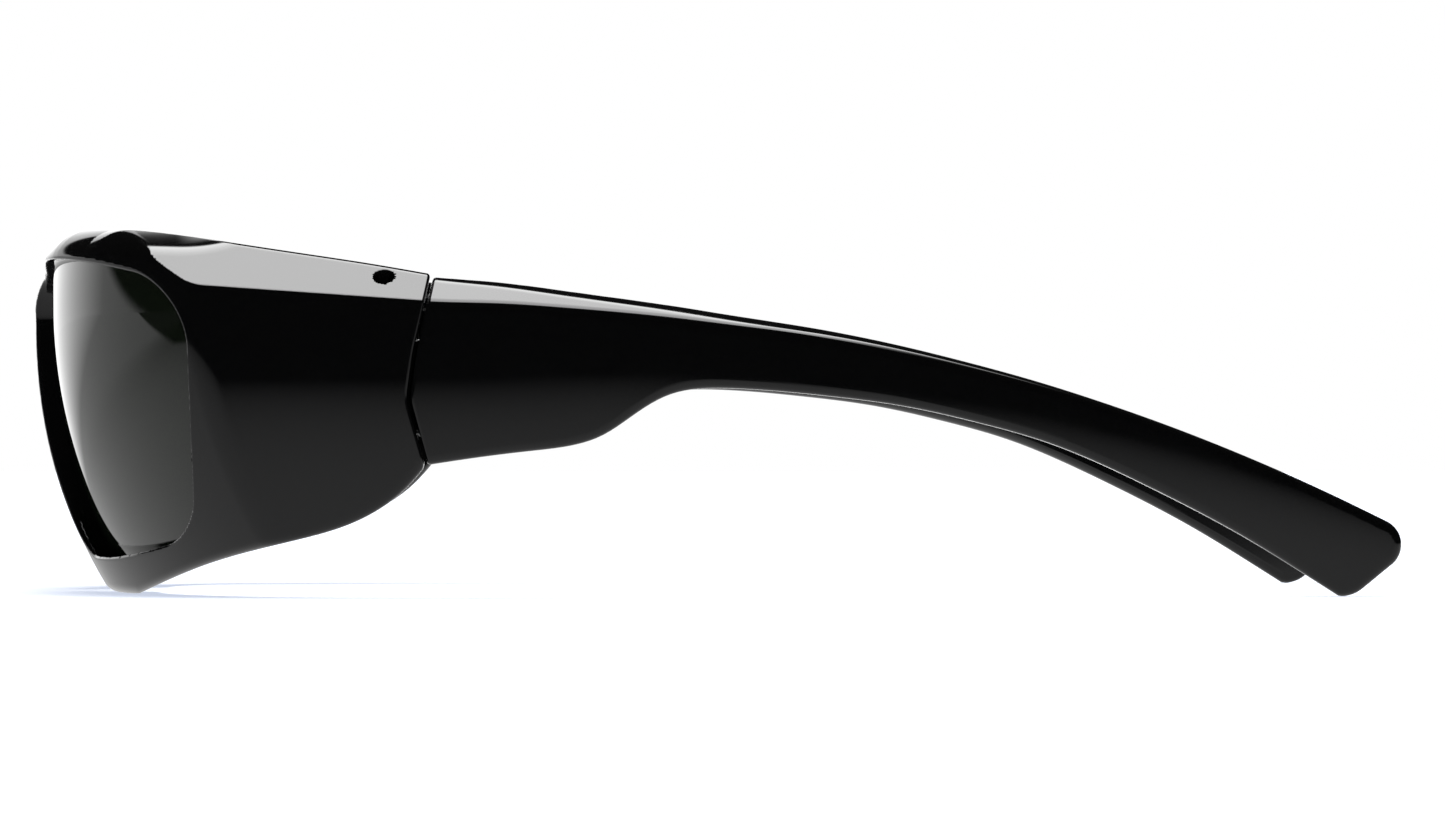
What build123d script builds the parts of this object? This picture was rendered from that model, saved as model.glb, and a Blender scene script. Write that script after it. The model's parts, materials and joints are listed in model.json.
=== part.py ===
from build123d import *
import math
import os

os.makedirs("parts", exist_ok=True)

# Wraparound welding spectacles: one moulded front, two dark lenses and two folding temples.
# +X is the wearer's left, -Y is the front, +Z is up, Z = 0 is the table they stand on.

# ---------------------------------------------------------------- overall sizes, mm
overall_width = 146.8          # across the outer faces of the two temples
overall_length = 166.2         # front of the brow to the end of the temples
overall_height = 44.2          # table to the top of the brow

# The outline tables below are drawn for these spans and follow the overall sizes.
drawn_width = 146.8
drawn_height = 44.2
drawn_temple = 117.2

# ---------------------------------------------------------------- front and lenses
parting_depth = 49.0           # front of the brow to the parting line of the temples
lens_radius_share = 0.45       # spherical lens face: radius as a share of the width
lens_thickness = 2.1
lens_corner_radius = 4.0
lens_temple_radius = 8.0       # wide upper corner on the temple side
lens_setback = 3.0             # deepest step from the rim face down to the lens face
lens_centre_x = 21.8           # centre of the lens sphere, out from the middle
lens_centre_z = 35.0
rim_shift_x = 2.0              # the rim sphere sits nearer the middle, so the lens
rim_shift_y = 2.9              # ends almost flush at its outer side
rim_back = 1.5                 # rim material behind the lens
groove_depth = 0.8             # how far the lens reaches into the rim
groove_clearance = 0.05        # all round the lens in its groove
wall_thickness = 2.3           # side shields
wall_barrel_radius = 99.0      # upright roundness of the side shields
wall_barrel_z = 26.8           # height where the side shield is widest
corner_radius = 5.0            # from the lens rim round into the side shield
roof_angle = 33.0              # slope of the roof over the side shields
brow_radius = 3.6              # rounded top of the brow
bridge_radius = 9.0            # hollow of the bridge between the two rims

# ---------------------------------------------------------------- hinges
pin_radius = 1.2
pin_inset = 4.4                # pin axis in from the outer face of the side shield
pin_ahead = 5.0                # pin axis in front of the parting line
knuckle_radius = 2.6
knuckle_bottom = 19.4
knuckle_top = 30.6
lug_radius = 3.0
pin_bottom = 15.2
hinge_gap = 0.35               # between every moving face of the temple and the front
fold_room_inset = 1.9          # corner cut from the roof for the temple's inner corner,
fold_room_start = 3.2          # inboard of and behind the pin axis
pin_clearance = 0.05           # pin in the temple knuckle, on the radius
pin_press = 0.02               # pin pressed into the lugs, on the radius
pin_top = 36.4                 # pin ends stay well below the skin
arm_length = 7.5               # knuckle arm, from the pin axis back into the temple

# ---------------------------------------------------------------- temples
parting_gap = 0.35
temple_swell = 0.4             # upright roundness of the outer face
temple_depth = 27.0            # blank height before the lower outline is cut

# ---------------------------------------------------------------- nose pads
pad_length = 15.0
pad_width = 6.4
pad_thickness = 2.2
pad_stem_radius = 1.1
pad_stem_length = 1.5
pad_clearance = 0.05           # stem in its pocket
pad_depth = 10.6               # middle of the pad behind the brow front
pad_z = 16.75
flange_length = 17.0
flange_width = 9.0
flange_thickness = 2.4
nose_corner_radius = 5.0

wide = overall_width / drawn_width
tall = overall_height / drawn_height
front_y = -overall_length / 2
parting_y = front_y + parting_depth * wide
tip_y = overall_length / 2
long = (tip_y - parting_y) / drawn_temple
reach = 2 * overall_width      # longer than anything here, for through cuts

lens_radius = lens_radius_share * overall_width
lens_centre = Vector(lens_centre_x * wide, front_y + lens_setback + lens_radius, lens_centre_z * tall)
rim_centre = lens_centre - Vector(rim_shift_x, rim_shift_y, 0)
rim_radius = lens_radius + lens_setback - rim_shift_y

# Side shield: a shallow barrel lying along this slanting line, seen from above.
wall_front = Vector(69.0 * wide, front_y + 24.3 * wide, wall_barrel_z * tall)
wall_rear = Vector(72.4 * wide, parting_y, wall_barrel_z * tall)
wall_run = (wall_rear - wall_front).normalized()
wall_out = wall_run.cross(Vector(0, 0, 1))
wall_axis = Plane(wall_front - wall_out * wall_barrel_radius, x_dir=wall_out, z_dir=wall_run)

# Hinge axis of the left temple.
pin_y = parting_y - pin_ahead
pin_x = wall_rear.X - wall_run.X * pin_ahead - pin_inset

# Outlines of the front seen from the side: depth behind the brow front, height.
brow_line = [(-6.0, 44.2), (6.0, 44.2), (13.0, 44.0), (20.7, 43.1), (27.9, 42.0)]
brow_line += [(35.1, 40.9), (42.2, 39.8), (49.6, 38.5)]
lower_line = [(49.0, 15.6), (47.3, 13.6), (44.0, 10.8), (34.1, 6.9), (22.5, 3.7), (14.0, 0.0)]
parting_line = [(49.0, 15.6), (46.8, 23.6), (47.5, 28.9), (49.0, 35.6), (49.6, 38.5)]

# Top of the brow seen from the front: distance from the middle, height.
arch_line = [(-1.0, 40.2), (12.0, 41.2), (26.0, 43.0), (42.0, 44.3), (60.0, 45.0), (90.0, 45.4)]

# Temple stations: distance behind the parting line, outer face, thickness, top, ridge.
temple_stations = [
    (-3.0, 72.0, 7.0, 39.0, 35.2),
    (10.0, 73.2, 6.6, 37.4, 34.5),
    (25.0, 73.4, 5.6, 35.3, 33.4),
    (40.0, 73.0, 5.0, 33.0, 31.8),
    (55.0, 72.0, 4.5, 30.2, 29.5),
    (70.0, 70.3, 4.2, 26.5, 25.9),
    (85.0, 68.1, 4.0, 21.7, 21.1),
    (100.0, 65.4, 3.9, 15.8, 15.2),
    (119.0, 61.4, 3.8, 6.9, 6.3),
]

# Lower outline and rounded end of the temple: distance behind the parting line, height.
temple_lower_line = [(0.0, 15.7), (5.3, 16.5), (12.5, 17.4), (18.0, 18.2), (21.3, 19.4)]
temple_lower_line += [(24.9, 21.8), (28.5, 23.9), (32.5, 24.8), (36.0, 24.8), (42.0, 24.5)]
temple_lower_line += [(48.1, 23.9), (57.0, 22.7), (66.0, 20.7), (74.3, 18.3), (86.2, 13.1)]
temple_lower_line += [(98.2, 6.8), (105.5, 2.3), (107.6, 0.7), (109.6, 0.0)]
temple_tip_line = [(111.6, 0.0), (114.4, 1.6), (116.8, 4.3), (117.2, 5.9), (116.4, 7.8)]
temple_tip_line += [(114.6, 9.6), (112.0, 13.0)]

# Nose opening seen from the front: flat top, straight slanting sides.
nose_top_z = 29.4 * tall
nose_half_top = 6.0 * wide
nose_slant = 2.235             # fall of the nose opening's sides for each mm outward

# Sloping roof over the side shield: one flat slope that starts at this ridge.
ridge_front = Vector(69.0 * wide, front_y + 23.4 * wide, 36.6 * tall)
ridge_rear = Vector(72.4 * wide, parting_y, 35.0 * tall)
ridge_run = (ridge_front - ridge_rear).normalized()
roof_slope = Vector(-1, 0, 0).rotate(Axis.Y, roof_angle)
roof_plane = Plane(ridge_rear, x_dir=ridge_run, z_dir=roof_slope.cross(ridge_run))


def front_points(table):
    """Side-view points of the front: depth behind the brow front, height."""
    return [(front_y + depth * wide, height * tall) for depth, height in table]


def temple_points(table):
    """Side-view points of the temple: distance behind the parting line, height."""
    return [(parting_y + station * long, height * tall) for station, height in table]


def on_brow_edge(edge):
    """True for the upper outer edges of the half block, not the ones on the middle plane."""
    middle = edge.center()
    above = middle.Z > 40 * tall
    outside = (middle - rim_centre).length > rim_radius - 4
    return above and outside and middle.X > 10


def on_bridge_crease(edge):
    """True for the sharp valley down the middle of the bridge, front side only."""
    upright = edge.bounding_box().size.X < 0.01 and abs(edge.center().X) < 0.01
    return upright and edge.center().Y < front_y + 9.0 * wide and edge.center().Z < 41 * tall


# Seat of the left nose pad: a flat on the slanting side of the nose opening.
seat_x = nose_half_top + (nose_top_z - pad_z * tall) / nose_slant
seat_point = Vector(seat_x, front_y + pad_depth * wide, pad_z * tall)
pad_seat = Plane(seat_point, x_dir=(1, 0, -nose_slant), z_dir=(-nose_slant, 0, -1))

# ---------------------------------------------------------------- outline of one lens
with BuildSketch(Plane.XZ) as lens_shape:
    with BuildLine():
        top_inner = (11.5 * wide, 37.0 * tall)
        top_outer = (67.0 * wide, 37.2 * tall)
        low_outer = (59.2 * wide, 7.2 * tall)
        low_inner = (24.0 * wide, 5.2 * tall)
        ThreePointArc(top_inner, (40.0 * wide, 40.5 * tall), top_outer)
        ThreePointArc(top_outer, (65.8 * wide, 22.0 * tall), low_outer)
        ThreePointArc(low_outer, (42.0 * wide, 4.7 * tall), low_inner)
        ThreePointArc(low_inner, (16.6 * wide, 20.0 * tall), top_inner)
    make_face()

with BuildSketch(Plane.XZ) as lens_opening:
    add(lens_shape.sketch_local)
    fillet(lens_opening.vertices().sort_by(Axis.X)[:-1], lens_corner_radius)
    fillet(lens_opening.vertices().sort_by(Axis.X)[-1], lens_temple_radius)

with BuildSketch(Plane.XZ) as lens_blank_outline:
    add(lens_shape.sketch_local)
    offset(amount=groove_depth, kind=Kind.INTERSECTION)
    small_corners = lens_blank_outline.vertices().sort_by(Axis.X)[:-1]
    fillet(small_corners, lens_corner_radius + groove_depth)
    temple_corner = lens_blank_outline.vertices().sort_by(Axis.X)[-1]
    fillet(temple_corner, lens_temple_radius + groove_depth)

with BuildSketch(Plane.XZ) as groove_outline:
    add(lens_shape.sketch_local)
    offset(amount=groove_depth + groove_clearance, kind=Kind.INTERSECTION)
    small_corners = groove_outline.vertices().sort_by(Axis.X)[:-1]
    fillet(small_corners, lens_corner_radius + groove_depth + groove_clearance)
    temple_corner = groove_outline.vertices().sort_by(Axis.X)[-1]
    fillet(temple_corner, lens_temple_radius + groove_depth + groove_clearance)

# ---------------------------------------------------------------- left lens
with BuildPart() as left_lens:
    add(lens_blank_outline.sketch)
    extrude(amount=reach, dir=(0, -1, 0))
    with Locations(lens_centre):
        Sphere(lens_radius, mode=Mode.INTERSECT)
        Sphere(lens_radius - lens_thickness, mode=Mode.SUBTRACT)

# ---------------------------------------------------------------- groove that holds the lens
with BuildPart() as lens_groove:
    add(groove_outline.sketch)
    extrude(amount=reach, dir=(0, -1, 0))
    with Locations(lens_centre):
        Sphere(lens_radius + groove_clearance, mode=Mode.INTERSECT)
        Sphere(lens_radius - lens_thickness - groove_clearance, mode=Mode.SUBTRACT)

# ---------------------------------------------------------------- solid half of the front
with BuildPart() as half_block:
    with Locations(rim_centre):
        Sphere(rim_radius)
    with Locations(wall_axis):
        Cylinder(wall_barrel_radius, 2 * reach, mode=Mode.INTERSECT)
    split(bisect_by=Plane.YZ, keep=Keep.TOP)
    front_corner = half_block.edges().filter_by(GeomType.BSPLINE).sort_by(Axis.Y)[0]
    fillet(front_corner, corner_radius)
    # trimmed to the outline seen from the side
    with BuildSketch(Plane.YZ):
        with BuildLine():
            crown = Spline(front_points(brow_line))
            Polyline(front_points(parting_line[::-1]))
            belly = Spline(front_points(lower_line))
            foot = Line(belly @ 1, (front_y - 6.0 * wide, 0))
            Line(foot @ 1, crown @ 0)
        make_face()
    extrude(amount=reach, mode=Mode.INTERSECT)
    # trimmed to the top of the brow seen from the front
    with BuildSketch(Plane.XZ):
        with BuildLine():
            arch = Spline([(x * wide, z * tall) for x, z in arch_line])
            Polyline([arch @ 0, (arch_line[0][0], -5), (90 * wide, -5), arch @ 1])
        make_face()
    extrude(amount=reach, dir=(0, -1, 0), mode=Mode.INTERSECT)
    fillet(half_block.edges().filter_by(on_brow_edge), brow_radius)
    split(bisect_by=roof_plane, keep=Keep.BOTTOM)

# ---------------------------------------------------------------- room behind the front
with BuildPart() as head_room:
    with Locations(lens_centre):
        Sphere(lens_radius - lens_thickness - rim_back)
    with Locations(wall_axis):
        Cylinder(wall_barrel_radius - wall_thickness, 2 * reach, mode=Mode.INTERSECT)
    split(bisect_by=roof_plane.offset(-wall_thickness), keep=Keep.BOTTOM)

# ---------------------------------------------------------------- hinge lugs of one side
with BuildPart() as hinge_post:
    with BuildSketch(Plane.XY.offset(pin_bottom)):
        with Locations((pin_x, pin_y)):
            Circle(lug_radius)
        with Locations((pin_x + lug_radius, pin_y - lug_radius)):
            Rectangle(4 * lug_radius, 2 * lug_radius)
        with Locations((pin_x + lug_radius, pin_y)):
            Rectangle(2 * lug_radius, 2 * lug_radius)
        with Locations((pin_x, pin_y - lug_radius)):
            Rectangle(2 * lug_radius, 2 * lug_radius)
    extrude(amount=overall_height)
    add(half_block.part, mode=Mode.INTERSECT)

# ---------------------------------------------------------------- hinge of one temple
with BuildPart() as hinge_knuckle:
    with BuildSketch(Plane.XY.offset(knuckle_bottom)):
        with Locations((pin_x, pin_y)):
            Circle(knuckle_radius)
        with Locations((pin_x, pin_y + arm_length / 2)):
            Rectangle(2 * knuckle_radius, arm_length)
    extrude(amount=knuckle_top - knuckle_bottom)

with BuildPart() as hinge_slot:
    with BuildSketch(Plane.XY.offset(knuckle_bottom - hinge_gap)):
        with Locations((pin_x, pin_y)):
            Circle(knuckle_radius + hinge_gap)
        with Locations((pin_x, pin_y + reach / 2)):
            Rectangle(2 * knuckle_radius + 2 * hinge_gap, reach)
        with Locations((pin_x - lug_radius, pin_y + lug_radius - 0.5)):
            Rectangle(2 * lug_radius, 4 * lug_radius)
    extrude(amount=knuckle_top - knuckle_bottom + 2 * hinge_gap)

with BuildPart() as fold_room:
    with BuildSketch(Plane.XY.offset(knuckle_top)):
        with Locations((pin_x - fold_room_inset - reach / 2, pin_y + fold_room_start + reach / 2)):
            Rectangle(reach, reach)
    extrude(amount=reach)

# ---------------------------------------------------------------- nose opening and flange
with BuildPart() as nose_room:
    with BuildSketch(Plane.XZ):
        with BuildLine():
            Polyline(
                (-reach, nose_top_z),
                (nose_half_top, nose_top_z),
                (nose_half_top + reach, nose_top_z - nose_slant * reach),
                (-reach, nose_top_z - nose_slant * reach),
                close=True,
            )
        make_face()
    extrude(amount=reach, dir=(0, -1, 0))
    bridge_corner = nose_room.edges().filter_by(Axis.Y).sort_by_distance((nose_half_top, 0, nose_top_z))[0]
    fillet(bridge_corner, nose_corner_radius)

with BuildPart() as nose_flange:
    with BuildSketch(pad_seat):
        Rectangle(flange_length, flange_width)
    extrude(amount=-flange_thickness)

# ---------------------------------------------------------------- front frame
with BuildPart() as front_frame:
    add(half_block.part)
    add(head_room.part, mode=Mode.SUBTRACT)
    add(hinge_post.part)
    # window and groove for the lens
    add(lens_opening.sketch)
    extrude(amount=reach, dir=(0, -1, 0), mode=Mode.SUBTRACT)
    add(lens_groove.part, mode=Mode.SUBTRACT)
    # room for the nose, with a short flange each side that reaches back to carry the pad
    add(nose_flange.part)
    add(nose_room.part, mode=Mode.SUBTRACT)
    with BuildSketch(pad_seat):
        Circle(pad_stem_radius + pad_clearance)
    extrude(amount=-pad_stem_length - pad_clearance, mode=Mode.SUBTRACT)
    # slot and bores of the hinge
    add(hinge_slot.part, mode=Mode.SUBTRACT)
    add(fold_room.part, mode=Mode.SUBTRACT)
    with BuildSketch(Plane.XY):
        with Locations((pin_x, pin_y)):
            Circle(pin_radius - pin_press)
    extrude(amount=reach, mode=Mode.SUBTRACT)
    mirror(about=Plane.YZ)
    fillet(front_frame.edges().filter_by(on_bridge_crease), bridge_radius)

# ---------------------------------------------------------------- left temple
with BuildPart() as left_temple:
    for station, face_x, thick, top_z, ridge_z in temple_stations:
        with BuildSketch(Plane.XZ.offset(-(parting_y + station * long))):
            with BuildLine():
                out_x = face_x * wide
                low_z = (top_z - temple_depth) * tall
                bevel = (top_z - ridge_z) * tall / math.tan(math.radians(roof_angle))
                swell = ThreePointArc(
                    (out_x - temple_swell, low_z),
                    (out_x, (low_z + ridge_z * tall) / 2),
                    (out_x - temple_swell, ridge_z * tall),
                )
                Polyline(
                    swell @ 1,
                    (out_x - temple_swell - bevel, top_z * tall),
                    (out_x - thick, top_z * tall),
                    (out_x - thick, low_z),
                    swell @ 0,
                )
            make_face()
    loft()
    # trimmed to the outline seen from the side
    front_edge = [(y + parting_gap, z) for y, z in front_points(parting_line[1:] + [(50.6, 45.0)])]
    with BuildSketch(Plane.YZ):
        with BuildLine():
            under = Spline(temple_points(temple_lower_line))
            heel = Spline(temple_points(temple_tip_line))
            Line(under @ 1, heel @ 0)
            Polyline([heel @ 1, (tip_y, reach), (parting_y, reach)] + front_edge[::-1] + [under @ 0])
        make_face()
    extrude(amount=reach, mode=Mode.INTERSECT)
    add(hinge_knuckle.part)
    with BuildSketch(Plane.XY):
        with Locations((pin_x, pin_y)):
            Circle(pin_radius + pin_clearance)
    extrude(amount=reach, mode=Mode.SUBTRACT)

# ---------------------------------------------------------------- left hinge pin
with BuildPart() as left_hinge_pin:
    with BuildSketch(Plane.XY.offset(pin_bottom)):
        with Locations((pin_x, pin_y)):
            Circle(pin_radius)
    extrude(amount=pin_top - pin_bottom)
    chamfer(left_hinge_pin.edges().filter_by(GeomType.CIRCLE), 0.2)

# ---------------------------------------------------------------- left nose pad
with BuildPart() as left_nose_pad:
    with BuildSketch(pad_seat):
        Ellipse(pad_length / 2, pad_width / 2)
    extrude(amount=pad_thickness)
    fillet(left_nose_pad.faces().sort_by(Axis.X)[0].edges(), pad_thickness * 0.4)
    with BuildSketch(pad_seat):
        Circle(pad_stem_radius)
    extrude(amount=-pad_stem_length)

# ---------------------------------------------------------------- right-hand pieces
with BuildPart() as right_lens:
    add(left_lens.part)
    mirror(about=Plane.YZ, mode=Mode.REPLACE)
with BuildPart() as right_temple:
    add(left_temple.part)
    mirror(about=Plane.YZ, mode=Mode.REPLACE)
with BuildPart() as right_hinge_pin:
    add(left_hinge_pin.part)
    mirror(about=Plane.YZ, mode=Mode.REPLACE)
with BuildPart() as right_nose_pad:
    add(left_nose_pad.part)
    mirror(about=Plane.YZ, mode=Mode.REPLACE)

# ---------------------------------------------------------------- files
front_frame.part.label = "front_frame"
left_lens.part.label = "left_lens"
right_lens.part.label = "right_lens"
left_temple.part.label = "left_temple"
right_temple.part.label = "right_temple"
left_hinge_pin.part.label = "left_hinge_pin"
right_hinge_pin.part.label = "right_hinge_pin"
left_nose_pad.part.label = "left_nose_pad"
right_nose_pad.part.label = "right_nose_pad"
export_step(front_frame.part, "parts/front_frame.step")
export_step(left_lens.part, "parts/left_lens.step")
export_step(right_lens.part, "parts/right_lens.step")
export_step(left_temple.part, "parts/left_temple.step")
export_step(right_temple.part, "parts/right_temple.step")
export_step(left_hinge_pin.part, "parts/left_hinge_pin.step")
export_step(right_hinge_pin.part, "parts/right_hinge_pin.step")
export_step(left_nose_pad.part, "parts/left_nose_pad.step")
export_step(right_nose_pad.part, "parts/right_nose_pad.step")
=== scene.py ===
import json
import logging
import math
from collections.abc import Callable
from dataclasses import dataclass
from enum import Enum

import bpy
import numpy as np
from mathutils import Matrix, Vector


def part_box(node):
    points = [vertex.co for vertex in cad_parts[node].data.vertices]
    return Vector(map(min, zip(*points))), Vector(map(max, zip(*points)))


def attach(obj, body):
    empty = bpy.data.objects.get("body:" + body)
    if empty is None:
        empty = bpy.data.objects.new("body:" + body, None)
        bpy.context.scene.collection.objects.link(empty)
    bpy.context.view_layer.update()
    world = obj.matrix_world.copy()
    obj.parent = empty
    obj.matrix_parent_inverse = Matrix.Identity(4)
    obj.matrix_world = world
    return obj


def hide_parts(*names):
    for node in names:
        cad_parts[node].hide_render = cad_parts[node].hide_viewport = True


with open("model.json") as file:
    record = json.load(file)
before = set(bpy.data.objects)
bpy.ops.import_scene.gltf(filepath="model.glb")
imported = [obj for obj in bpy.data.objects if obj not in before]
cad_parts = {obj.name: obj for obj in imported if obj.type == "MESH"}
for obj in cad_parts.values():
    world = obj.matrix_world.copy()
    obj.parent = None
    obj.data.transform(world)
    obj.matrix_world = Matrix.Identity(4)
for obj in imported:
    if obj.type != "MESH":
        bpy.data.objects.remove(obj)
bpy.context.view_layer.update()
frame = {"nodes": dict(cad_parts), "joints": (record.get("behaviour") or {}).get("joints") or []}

LOG = logging.getLogger("welding_spectacles")
MM = 0.001                     # metres in a millimetre; shapes are worked out in millimetres
PAPER_SPAN = (-0.95, -0.62)    # bearing from straight behind to the side of the backdrop
SOFT_RAMP = {"interpolation_type": "SMOOTHSTEP"}
Array = np.ndarray
Field = Callable[[Array, Array, Array], Array]
Pair = tuple[float, float]
Triple = tuple[float, float, float]
Material = bpy.types.Material
Socket = bpy.types.NodeSocket
Tree = bpy.types.NodeTree


class Body(Enum):
    """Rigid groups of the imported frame."""

    FRONT = "front"
    TEMPLE_LEFT = "temple_left"
    TEMPLE_RIGHT = "temple_right"


class Slot(Enum):
    """Names of material slots."""

    SHELL = "frame_plastic"
    LENS = "lens"
    PAD = "pad_rubber"


class Side(Enum):
    """Wearer's side: the sign that X has there."""

    LEFT = 1
    RIGHT = -1

    @property
    def word(self) -> str:
        """Name used in node and piece names."""
        return self.name.lower()


# --- helpers for fields


def round_max(a: Array, b: Array, radius: float, lean: float = 0.0) -> Array:
    """Common part of two solids, its edge rounded.

    Args:
        a: signed distance to the first solid, negative inside.
        b: signed distance to the second solid.
        radius: radius of the rounded edge.
        lean: cosine of the angle between the two faces' normals.

    Returns:
        Signed distance to the rounded common part.
    """
    u, v = a + radius, b + radius
    rounded = (u - lean * v > 0) & (v - lean * u > 0)
    square = np.maximum(u * u + v * v - 2 * lean * u * v, 0.0)
    return np.where(rounded, np.sqrt(square / (1 - lean * lean)) - radius, np.maximum(a, b))


def round_min(a: Array, b: Array, radius: float) -> Array:
    """Union of two solids with a hollow fillet where they meet."""
    return -round_max(-a, -b, radius)


def soft_abs(x: Array, blend: float) -> Array:
    """Absolute value whose corner at zero is rounded out to the given distance."""
    size = np.abs(x)
    return np.where(size < blend, x * x / (2 * blend) + blend / 2, size)


def slab(value: Array, low: float, high: float) -> Array:
    """Signed distance to the layer between two parallel planes."""
    return np.maximum(low - value, value - high)


class Curve:
    """Smooth natural spline through a few design points, straight beyond its ends."""

    def __init__(self, points: list[Pair]) -> None:
        """Solves the spline's bending at each point."""
        self.at, self.value = (np.array(column, float) for column in zip(*points))
        gaps = np.diff(self.at)
        slopes = np.diff(self.value) / gaps
        count = len(self.at)
        system = np.eye(count)
        load = np.zeros(count)
        for i in range(1, count - 1):
            system[i, i - 1: i + 2] = gaps[i - 1], 2 * (gaps[i - 1] + gaps[i]), gaps[i]
            load[i] = 6 * (slopes[i] - slopes[i - 1])
        self.bend = np.linalg.solve(system, load)
        self.gaps, self.slopes = gaps, slopes

    def _place(self, at: Array) -> tuple[Array, Array, Array]:
        """Span number, distance into the span and overshoot past the curve's ends."""
        held = np.clip(at, self.at[0], self.at[-1])
        span = np.clip(np.searchsorted(self.at, held) - 1, 0, len(self.gaps) - 1)
        return span, held - self.at[span], at - held

    def slope(self, at: Array) -> Array:
        """Rise for each millimetre along the curve."""
        span, into, _ = self._place(at)
        bend, step, gap = self.bend[span], self.bend[span + 1], self.gaps[span]
        start = self.slopes[span] - gap * (2 * bend + step) / 6
        return start + bend * into + (step - bend) * into ** 2 / (2 * gap)

    def __call__(self, at: Array) -> Array:
        """Value of the curve."""
        span, into, past = self._place(at)
        bend, step, gap = self.bend[span], self.bend[span + 1], self.gaps[span]
        start = self.slopes[span] - gap * (2 * bend + step) / 6
        value = self.value[span] + start * into + bend * into ** 2 / 2
        value = value + (step - bend) * into ** 3 / (6 * gap)
        return value + self.slope(at) * past

    def above(self, at: Array, height: Array) -> Array:
        """Signed distance up from the curve, measured square to it."""
        return (height - self(at)) / np.sqrt(1 + self.slope(at) ** 2)


@dataclass(frozen=True)
class Arc:
    """Circle through three points of a flat outline."""

    start: Pair
    middle: Pair
    end: Pair

    def inside(self, x: Array, z: Array) -> Array:
        """Signed distance to the circle's edge, negative within it."""
        (ax, az), (bx, bz), (cx, cz) = self.start, self.middle, self.end
        twice = 2 * (ax * (bz - cz) + bx * (cz - az) + cx * (az - bz))
        a2, b2, c2 = ax ** 2 + az ** 2, bx ** 2 + bz ** 2, cx ** 2 + cz ** 2
        mid_x = (a2 * (bz - cz) + b2 * (cz - az) + c2 * (az - bz)) / twice
        mid_z = (a2 * (cx - bx) + b2 * (ax - cx) + c2 * (bx - ax)) / twice
        return np.hypot(x - mid_x, z - mid_z) - math.hypot(ax - mid_x, az - mid_z)


def stations(pitches: list[Pair], coarse: float) -> Array:
    """Places for the layers of a mesh along one axis.

    Args:
        pitches: places and the spacing wanted there; the first and last are the ends.
        coarse: factor on every spacing.

    Returns:
        The layers' places, from the first to just past the last.
    """
    at, wanted = (np.array(column, float) for column in zip(*pitches))
    places = [at[0]]
    while places[-1] < at[-1]:
        places.append(places[-1] + coarse * float(np.interp(places[-1], at, wanted)))
    return np.array(places)


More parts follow.
